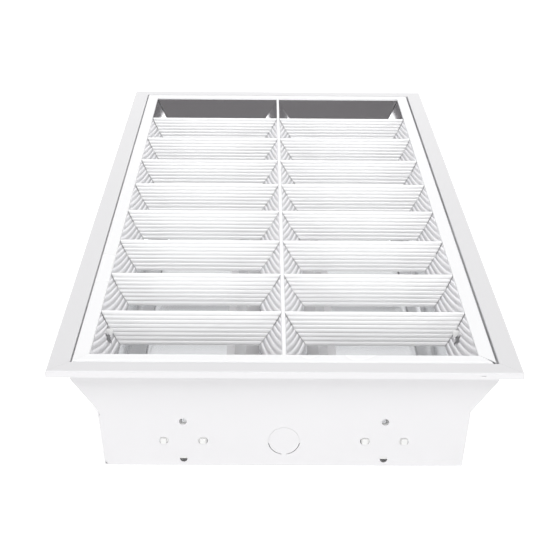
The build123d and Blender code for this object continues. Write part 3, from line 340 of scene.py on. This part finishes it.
def make_finishes():
    """One material for each material slot of the record."""
    return {
        "housing_paint": powder_coat(
            "white_powder_coat", (0.71, 0.705, 0.715), (0.695, 0.69, 0.70), 0.36, 0.18),
        "louver_paint": powder_coat(
            "louver_white_coat", (0.89, 0.89, 0.895), (0.875, 0.875, 0.885), 0.26, 0.08),
        "mirror_aluminium": mirror_sheet("mirror_sheet", (0.82, 0.815, 0.83), 0.06),
        "ribbed_aluminium": satin_blade("satin_ribbed_sheet"),
        "lamp_reflector_aluminium": mirror_sheet("lamp_mirror_sheet", (0.85, 0.86, 0.87), 0.09),
        "catch_nylon": moulded("white_nylon", (0.97, 0.97, 0.965), (0.95, 0.95, 0.945), 0.4),
        "rotor_plastic": moulded("rotor_white", (0.85, 0.85, 0.84), (0.82, 0.82, 0.81), 0.3),
        "lampholder_plastic": moulded(
            "lampholder_white", (0.77, 0.77, 0.76), (0.73, 0.73, 0.72), 0.4),
        "contact_brass": plated_steel("contact_brass", (0.8, 0.62, 0.3), 0.25),
        "spring_steel": plated_steel("spring_steel", (0.6, 0.61, 0.62), 0.28),
        "rivet_steel": plated_steel("rivet_zinc", (0.72, 0.72, 0.73), 0.3),
        "zinc_steel": plated_steel("galvanised_steel", (0.66, 0.67, 0.69), 0.32),
        "ballast_paint": powder_coat(
            "ballast_coat", (0.72, 0.72, 0.72), (0.69, 0.69, 0.69), 0.42, 0.2),
        "terminal_grey": moulded("grey_polyamide", (0.42, 0.43, 0.44), (0.38, 0.39, 0.4), 0.45),
        "terminal_nylon": moulded("natural_nylon", (0.83, 0.83, 0.79), (0.78, 0.78, 0.74), 0.38),
        "grommet_rubber": rubber("grommet_rubber"),
        "lead_sleeve": moulded("white_sleeve", (0.84, 0.84, 0.84), (0.8, 0.8, 0.8), 0.4),
    }


# ---- Pieces ---------------------------------------------------------------------------------
def dress_nodes(finishes):
    """Gives each CAD node its finish and, where it is moulded or folded, softened edges."""
    for part in frame["record"]["subparts"]:
        node = frame["nodes"][part["node"]]
        part_slot = part["material_slot"]
        node.data.materials.clear()
        node.data.materials.append(finishes[part_slot].material)
        if part_slot in SOFT_EDGES:
            bevel = node.modifiers.new("soft_edge", "BEVEL")
            bevel.width = SOFT_EDGES[part_slot]
            bevel.segments = SOFT_EDGE_STEPS
            bevel.limit_method = "ANGLE"
            bevel.angle_limit = math.radians(SOFT_EDGE_FROM)
            bevel.harden_normals = True


def leaning_x(face, z):
    """Place across of a leaning face at a height."""
    (x, top), depth, lean, start = face
    slope = math.radians(start)
    inward = Vector((-math.cos(slope), math.sin(slope)))
    chord = Vector((-lean, -depth))
    radius = chord.dot(chord) / (2 * chord.dot(inward))
    centre = Vector((x, top)) + inward * radius
    return centre.x + math.sqrt(radius ** 2 - (z - centre.y) ** 2)


def leg_point(share, out):
    """Point of a blade's far leg: share of the way down and distance outside its line."""
    run = BLADE_BASE_HALF - BLADE_NOSE_HALF
    length = math.hypot(run, BLADE_HEIGHT)
    return Vector((BLADE_NOSE_HALF + share * run + out * BLADE_HEIGHT / length,
                   BLADE_TOP - share * BLADE_HEIGHT + out * run / length))


def blade_line():
    """Outer line of a blade in Y and Z, from its far foot over the nose to the near foot."""
    steps = RIBS * RIB_STEPS
    leg = []
    for step in range(steps + 1):
        share = step / steps
        out = RIB_CREST - RIB_DEPTH * (1.0 - abs(math.sin(math.pi * share * RIBS)))
        leg.append(leg_point(share, out))
    leg[0].y -= BLADE_NOSE_DROP
    nose = []
    for step in range(1, BLADE_NOSE_STEPS):
        angle = math.pi * (0.5 - step / BLADE_NOSE_STEPS)
        nose.append(Vector((BLADE_NOSE_HALF * math.sin(angle),
                            BLADE_TOP + BLADE_NOSE_DROP * (math.cos(angle) - 1.0))))
    other = [Vector((-point.x, point.y)) for point in leg]
    return list(reversed(leg)) + nose + other


def inner_line(line):
    """The inner face of a sheet whose outer face is the line."""
    inner = []
    for index, point in enumerate(line):
        before = line[max(index - 1, 0)]
        after = line[min(index + 1, len(line) - 1)]
        along = (after - before).normalized()
        inner.append(point + Vector((-along.y, along.x)) * BLADE_SHEET)
    return inner


def blade_mesh(name, y):
    """Right half of a cross-blade: ribbed V sheet cut to the curved faces at its two ends."""
    outer = blade_line()
    vertices = []
    for line in (outer, inner_line(outer)):
        for across, up in line:
            near_end = -leaning_x(CENTRE, up) + BLADE_PLAY
            far_end = leaning_x(FLANK, up) - BLADE_PLAY
            if up > FACE_Z - RAIL_HEM - BLADE_PLAY:
                far_end = min(far_end, RAIL_INNER - BLADE_PLAY)
            vertices.append((near_end, y + across, up))
            vertices.append((far_end, y + across, up))
    count = len(outer)
    inside = 2 * count
    faces = []
    for index in range(count - 1):
        a = 2 * index
        b = a + 2
        faces.append((a, a + 1, b + 1, b))
        faces.append((inside + b, inside + b + 1, inside + a + 1, inside + a))
        faces.append((a, b, inside + b, inside + a))
        faces.append((a + 1, inside + a + 1, inside + b + 1, b + 1))
    for foot in (0, 2 * (count - 1)):
        faces.append((foot, foot + 1, inside + foot + 1, inside + foot))
    add_tabs(vertices, faces, y)
    piece = finished_mesh(name, vertices, faces)
    turn_faces_out(piece)
    return piece


def add_tabs(vertices, faces, y):
    """Adds the blade's four end tabs, which go through the slots of the curved sheets."""
    half = TAB_HALF_HEIGHT / BLADE_HEIGHT
    head, foot = TAB_PLACE - half, TAB_PLACE + half
    corners = [leg_point(head, 0), leg_point(foot, 0),
               leg_point(foot, -BLADE_SHEET), leg_point(head, -BLADE_SHEET)]
    tab_z = BLADE_TOP - TAB_PLACE * BLADE_HEIGHT
    for end in (-leaning_x(CENTRE, tab_z), leaning_x(FLANK, tab_z)):
        for side in (-1, 1):
            start = len(vertices)
            for x in (end - TAB_LENGTH, end + TAB_LENGTH):
                vertices += [(x, y + side * corner.x, corner.y) for corner in corners]
            faces.append((start, start + 1, start + 2, start + 3))
            faces.append((start + 7, start + 6, start + 5, start + 4))
            for index in range(4):
                after = (index + 1) % 4
                faces.append((start + index, start + 4 + index, start + 4 + after, start + after))


def blade_places():
    """Y of the cross-blades, from the near end to the far end."""
    first = -(BLADES - 1) / 2 * BLADE_PITCH
    return [first + index * BLADE_PITCH for index in range(BLADES)]


def blade_slots():
    """Y and Z limits of all the slots that the cross-blades' tabs go through."""
    half = TAB_HALF_HEIGHT / BLADE_HEIGHT
    inner = leg_point(TAB_PLACE - half, -BLADE_SHEET).x - SLOT_PLAY
    outer = leg_point(TAB_PLACE + half, 0.0).x + SLOT_PLAY
    z = limits(BLADE_TOP - TAB_PLACE * BLADE_HEIGHT, TAB_HALF_HEIGHT + 2 * SLOT_PLAY)
    slots = []
    for y in blade_places():
        slots += [((y + inner, y + outer), z), ((y - outer, y - inner), z)]
    return slots


def catch_holes():
    """Y and Z limits of the catch windows and of the cross-shaped cut-outs beside them."""
    holes = []
    for end in (-1, 1):
        holes.append((limits(end * CATCH_Y, HEAD_HALF_WIDTH + WINDOW_PLAY),
                      limits(HEAD_Z, HEAD_HALF_HEIGHT + WINDOW_PLAY)))
        cross_y = end * (CATCH_Y + CROSS_Y)
        holes.append((limits(cross_y, CROSS_HALF_LONG), limits(CROSS_Z, CROSS_HALF_BAR)))
        holes.append((limits(cross_y, CROSS_HALF_BAR), limits(CROSS_Z, CROSS_HALF_TALL)))
    return holes


def limits(middle, half):
    """Low and high value about a middle."""
    return middle - half, middle + half


def curve_heights(face, holes):
    """Heights up a curved sheet, with a row at each edge of its holes."""
    (_, top), depth, _, _ = face
    rows = round(depth / CURVE_STEP)
    heights = [top - depth * row / rows for row in range(rows + 1)]
    for _, z in holes:
        heights += z
    return spaced(heights)


def spaced(values):
    """The values in order, without those that nearly repeat the one before."""
    kept = []
    for value in sorted(values):
        if not kept or value - kept[-1] > LEAST_STEP:
            kept.append(value)
    return kept


def in_hole(y, z, holes):
    """Whether a point of a sheet lies in one of its holes."""
    return any(low <= y <= high and foot <= z <= head for (low, high), (foot, head) in holes)


def pierced_sheet(name, line, spread, holes, reach=None):
    """Bent sheet: a line in X and Z swept over the spread of Y, with its holes left out.

    Where its ends lean, reach gives how far it goes both ways at a height.
    """
    vertices, faces = [], []
    for x, z in line:
        end = reach(z) if reach else math.inf
        vertices += [(x, max(-end, min(end, y)), z) for y in spread]
    columns = len(spread)
    for row in range(len(line) - 1):
        middle_z = (line[row][1] + line[row + 1][1]) / 2
        for column in range(columns - 1):
            if in_hole((spread[column] + spread[column + 1]) / 2, middle_z, holes):
                continue
            start = row * columns + column
            faces.append((start, start + columns, start + columns + 1, start + 1))
    return finished_mesh(name, vertices, faces)


def with_flange(face, heights):
    """Line up a leaning face and out over its top flange."""
    line = [(leaning_x(face, z), z) for z in heights]
    x, z = line[-1]
    return line + [(x + MIRROR_FLANGE, z)]


def side_reflector_piece(side):
    """Curved side reflector; side is 1 on the right and -1 on the left."""
    holes = blade_slots() + catch_holes()
    low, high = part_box("side_reflector_right")
    spread = spaced([low[1], high[1]] + [edge for y, _ in holes for edge in y])
    line = with_flange(FLANK, curve_heights(FLANK, holes))
    name = "curved_reflector_" + ("right" if side > 0 else "left")
    return set_sheet(pierced_sheet(name, line, spread, holes), side)


def end_reach(z):
    """How far a piece between the end reflectors reaches at a height."""
    reach = leaning_x(END, z) - BLADE_PLAY
    if z > FACE_Z - RAIL_HEM - BLADE_PLAY:
        reach = min(reach, END_RAIL_INNER - BLADE_PLAY)
    return reach


def centre_piece():
    """V-shaped centre blade with a narrow folded nose."""
    holes = blade_slots()
    heights = curve_heights(CENTRE, holes)
    below_nose = BLADE_TOP - CENTRE_NOSE
    left = [(leaning_x(CENTRE, z), z) for z in heights[:-1]]
    left += [(leaning_x(CENTRE, below_nose), below_nose),
             (leaning_x(CENTRE, BLADE_TOP) + CENTRE_NOSE, BLADE_TOP)]
    line = left + [(-x, z) for x, z in reversed(left)]
    spread = spaced([-FACE_REACH, FACE_REACH] + [edge for y, _ in holes for edge in y])
    return set_sheet(pierced_sheet("v_centre_blade", line, spread, holes, end_reach), 1)


def end_reflector_piece(end):
    """Curved end reflector between the two side reflectors; end is 1 at the far end."""
    line = with_flange(END, curve_heights(END, []))
    vertices, faces = [], []
    for y, z in line:
        half = leaning_x(FLANK, z) - BLADE_PLAY
        vertices += [(-half, end * y, z), (half, end * y, z)]
    for row in range(len(line) - 1):
        start = 2 * row
        faces.append((start, start + 1, start + 3, start + 2))
    name = "curved_end_reflector_" + ("far" if end > 0 else "near")
    piece = finished_mesh(name, vertices, faces)
    if end < 0:
        piece.data.flip_normals()
    return set_sheet(piece, 1)


def set_on_louver(piece, side, crease):
    """Mirrors a piece drawn on the right where it belongs on the left and sets it in place.

    Edges whose faces turn by more than the crease, in degrees, are sharp.
    """
    for vertex in piece.data.vertices:
        vertex.co.x = side * vertex.co.x + LOUVER_SHIFT
    if side < 0:
        piece.data.flip_normals()
    piece.data.set_sharp_from_angle(angle=math.radians(crease))


def set_sheet(piece, side):
    """Sets a mirror sheet in place and gives it its thickness."""
    set_on_louver(piece, side, SHEET_CREASE)
    sharpen_rims(piece)
    sheet = piece.modifiers.new("sheet", "SOLIDIFY")
    sheet.thickness = MIRROR_SHEET
    sheet.offset = -1.0
    return piece


def turn_faces_out(piece):
    """Turns the faces of a closed mesh outwards."""
    mesh = bmesh.new()
    mesh.from_mesh(piece.data)
    bmesh.ops.recalc_face_normals(mesh, faces=mesh.faces)
    mesh.to_mesh(piece.data)
    mesh.free()


def sharpen_rims(piece):
    """Keeps the open edges of a sheet crisp when it gets its thickness."""
    mesh = bmesh.new()
    mesh.from_mesh(piece.data)
    for edge in mesh.edges:
        if edge.is_boundary:
            edge.smooth = False
    mesh.to_mesh(piece.data)
    mesh.free()


def add_block(mesh, x, y, z):
    """Adds a box between two values on each axis."""
    size = [high - low for low, high in (x, y, z)]
    middle = [(low + high) / 2 for low, high in (x, y, z)]
    place = Matrix.Translation(middle) @ Matrix.Diagonal((*size, 1.0))
    return bmesh.ops.create_cube(mesh, size=1.0, matrix=place)["verts"]


def catch_piece(side, end):
    """Moulded catch: pin, plate behind the reflector and head inside the cell."""
    mesh = bmesh.new()
    plate = limits(CATCH_X, PIN_RADIUS)
    add_block(mesh, plate, limits(CATCH_Y, CATCH_PLATE_HALF), (CATCH_LOW, PIN_Z))
    tip = leaning_x(FLANK, HEAD_Z) - HEAD_IN
    head = add_block(mesh, (tip, plate[0] + PIN_RADIUS), limits(CATCH_Y, HEAD_HALF_WIDTH),
                     limits(HEAD_Z, HEAD_HALF_HEIGHT))
    for corner in head:
        if corner.co.z > HEAD_Z:
            corner.co.y = CATCH_Y + HEAD_TAPER * (corner.co.y - CATCH_Y)
    pin = Matrix.Translation((CATCH_X, CATCH_Y, PIN_Z)) @ Matrix.Rotation(math.pi / 2, 4, "X")
    bmesh.ops.create_cone(mesh, cap_ends=True, segments=PIN_SIDES, radius1=PIN_RADIUS,
                          radius2=PIN_RADIUS, depth=2 * PIN_HALF_LENGTH, matrix=pin)
    place = ("near" if end < 0 else "far") + ("_left" if side < 0 else "_right")
    name = "moulded_catch_" + place
    data = bpy.data.meshes.new(name)
    mesh.to_mesh(data)
    mesh.free()
    data.shade_smooth()
    piece = add_object(name, data)
    if end < 0:
        for vertex in data.vertices:
            vertex.co.y = -vertex.co.y
        data.flip_normals()
    set_on_louver(piece, side, SHEET_CREASE)
    bevel = piece.modifiers.new("soft_edge", "BEVEL")
    bevel.width = CATCH_ROUND
    bevel.segments = CATCH_ROUND_STEPS
    bevel.limit_method = "ANGLE"
    return piece, place


def make_louver_sheets(finishes):
    """Reflectors, centre blade and catches, each in the place of its CAD node."""
    pieces = [(centre_piece(), "centre_blade", "mirror_aluminium")]
    for side, name in ((-1, "left"), (1, "right")):
        pieces.append((side_reflector_piece(side), "side_reflector_" + name, "mirror_aluminium"))
        for end in (-1, 1):
            catch, place = catch_piece(side, end)
            pieces.append((catch, "louver_catch_" + place, "catch_nylon"))
    for end, name in ((-1, "near"), (1, "far")):
        pieces.append((end_reflector_piece(end), "end_reflector_" + name, "mirror_aluminium"))
    for piece, node, part_slot in pieces:
        piece.data.materials.append(finishes[part_slot].material)
        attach(piece, "louver")
        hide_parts(node)


def finished_mesh(name, vertices, faces):
    """A mesh object in the scene, with smooth faces."""
    mesh = bpy.data.meshes.new(name)
    mesh.from_pydata(vertices, [], faces)
    mesh.validate()
    mesh.shade_smooth()
    return add_object(name, mesh)


def add_object(name, data):
    """Adds an object with its mesh, light or camera data to the scene."""
    added = bpy.data.objects.new(name, data)
    bpy.context.scene.collection.objects.link(added)
    return added


def make_blades(finishes):
    """The sixteen half blades, each in the place of its CAD node."""
    for index, y in enumerate(blade_places()):
        for side, turn in (("right", 1), ("left", -1)):
            piece = blade_mesh(f"ribbed_blade_{side}_{index + 1}", y)
            set_on_louver(piece, turn, BLADE_CREASE)
            piece.data.materials.append(finishes["ribbed_aluminium"].material)
            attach(piece, "louver")
            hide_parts(f"cross_blade_{side}_{index + 1}")


# ---- Stage ----------------------------------------------------------------------------------
def flat_panel(name, corners, paint):
    """A flat sheet of the stage between four corners."""
    mesh = bpy.data.meshes.new(name)
    mesh.from_pydata(corners, [], [(0, 1, 2, 3)])
    mesh.materials.append(paint.material)
    panel = add_object(name, mesh)
    return panel


def make_floor():
    """White floor that keeps the light's shadow."""
    paint = Paint("floor_white")
    camera, glossy, through = (
        paint.node("ShaderNodeLightPath", output=name)
        for name in ("Is Camera Ray", "Is Glossy Ray", "Is Transmission Ray"))
    glow = paint.between((camera + glossy + through).clamped(), (0.0, 0.0, 0.0), FLOOR_GLOW)
    paint.set(Base_Color=FLOOR_WHITE, Roughness=1.0, Emission_Color=glow)
    paint.set(Specular_IOR_Level=0.0, Emission_Strength=1.0)
    reach = FLOOR_REACH
    flat_panel("floor", [(-reach, -reach, 0), (reach, -reach, 0), (reach, reach, 0),
                         (-reach, reach, 0)], paint)


def make_dark_card():
    """Dark card behind the camera, which the mirror sheets show and the camera doesn't."""
    paint = Paint("card_grey").set(Base_Color=CARD_GREY, Roughness=1.0)
    half = CARD_HALF_WIDTH
    card = flat_panel("dark_card", [(-half, CARD_Y, 0.0), (half, CARD_Y, 0.0),
                                    (half, CARD_Y, CARD_TOP), (-half, CARD_Y, CARD_TOP)], paint)
    card.visible_camera = False
    card.visible_diffuse = False
    card.visible_shadow = False


def make_world():
    """Plain bright surroundings: white where they are seen, about half as bright as light."""
    world = bpy.data.worlds.new("studio")
    bpy.context.scene.world = world
    world.use_nodes = True
    nodes = world.node_tree.nodes
    links = world.node_tree.links
    shade = nodes["Background"]
    path = nodes.new("ShaderNodeLightPath")
    mix = nodes.new("ShaderNodeMix")
    mix.data_type = "RGBA"
    mix.inputs[MIX_FIRST].default_value = WORLD_LIGHT
    mix.inputs[MIX_SECOND].default_value = WORLD_SEEN
    seen = path.outputs["Is Camera Ray"]
    for name in ("Is Glossy Ray", "Is Transmission Ray"):
        either = nodes.new("ShaderNodeMath")
        either.operation = "MAXIMUM"
        links.new(seen, either.inputs[0])
        links.new(path.outputs[name], either.inputs[1])
        seen = either.outputs[0]
    links.new(seen, mix.inputs["Factor"])
    links.new(mix.outputs[MIX_RESULT], shade.inputs["Color"])


def add_lamp(name, place, size, power, mirrored):
    """Soft area lamp aimed at the troffer; the glossy pieces may be kept from mirroring it."""
    light = bpy.data.lights.new(name, "AREA")
    light.shape = "RECTANGLE"
    light.size = size[0]
    light.size_y = size[1]
    light.energy = power
    source = add_object(name, light)
    source.location = place
    source.visible_glossy = mirrored
    aim = Vector(LAMP_TARGET) - Vector(place)
    source.rotation_mode = "QUATERNION"
    source.rotation_quaternion = aim.to_track_quat("-Z", "Y")


def make_lamps():
    """A large soft light above the near end, a low fill on each side and one above the far end."""
    for name, place, size, power, mirrored in LAMPS:
        add_lamp(name, place, size, power, mirrored)


def make_camera():
    """Camera at the viewing angle of a person who stands at the near end."""
    down = math.radians(CAMERA_DOWN)
    turn = math.radians(CAMERA_TURN)
    roll = math.radians(CAMERA_ROLL)
    ahead = Vector((-math.sin(turn) * math.cos(down), math.cos(turn) * math.cos(down),
                    -math.sin(down)))
    right = Vector((math.cos(turn), math.sin(turn), 0.0))
    up = right.cross(ahead)
    level = Matrix((right, up, -ahead)).transposed()
    data = bpy.data.cameras.new("camera")
    data.sensor_width = CAMERA_SENSOR
    data.lens = CAMERA_LENS
    data.clip_start = 0.05
    data.clip_end = 60.0
    camera = add_object("camera", data)
    camera.matrix_world = Matrix.Translation(CAMERA_PLACE) @ (
        level @ Matrix.Rotation(roll, 3, "Z")).to_4x4()
    bpy.context.scene.camera = camera


def main():
    """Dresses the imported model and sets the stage."""
    finishes = make_finishes()
    dress_nodes(finishes)
    make_blades(finishes)
    make_louver_sheets(finishes)
    make_floor()
    make_dark_card()
    make_world()
    make_lamps()
    make_camera()
    bpy.context.scene.view_settings.view_transform = "Standard"


main()
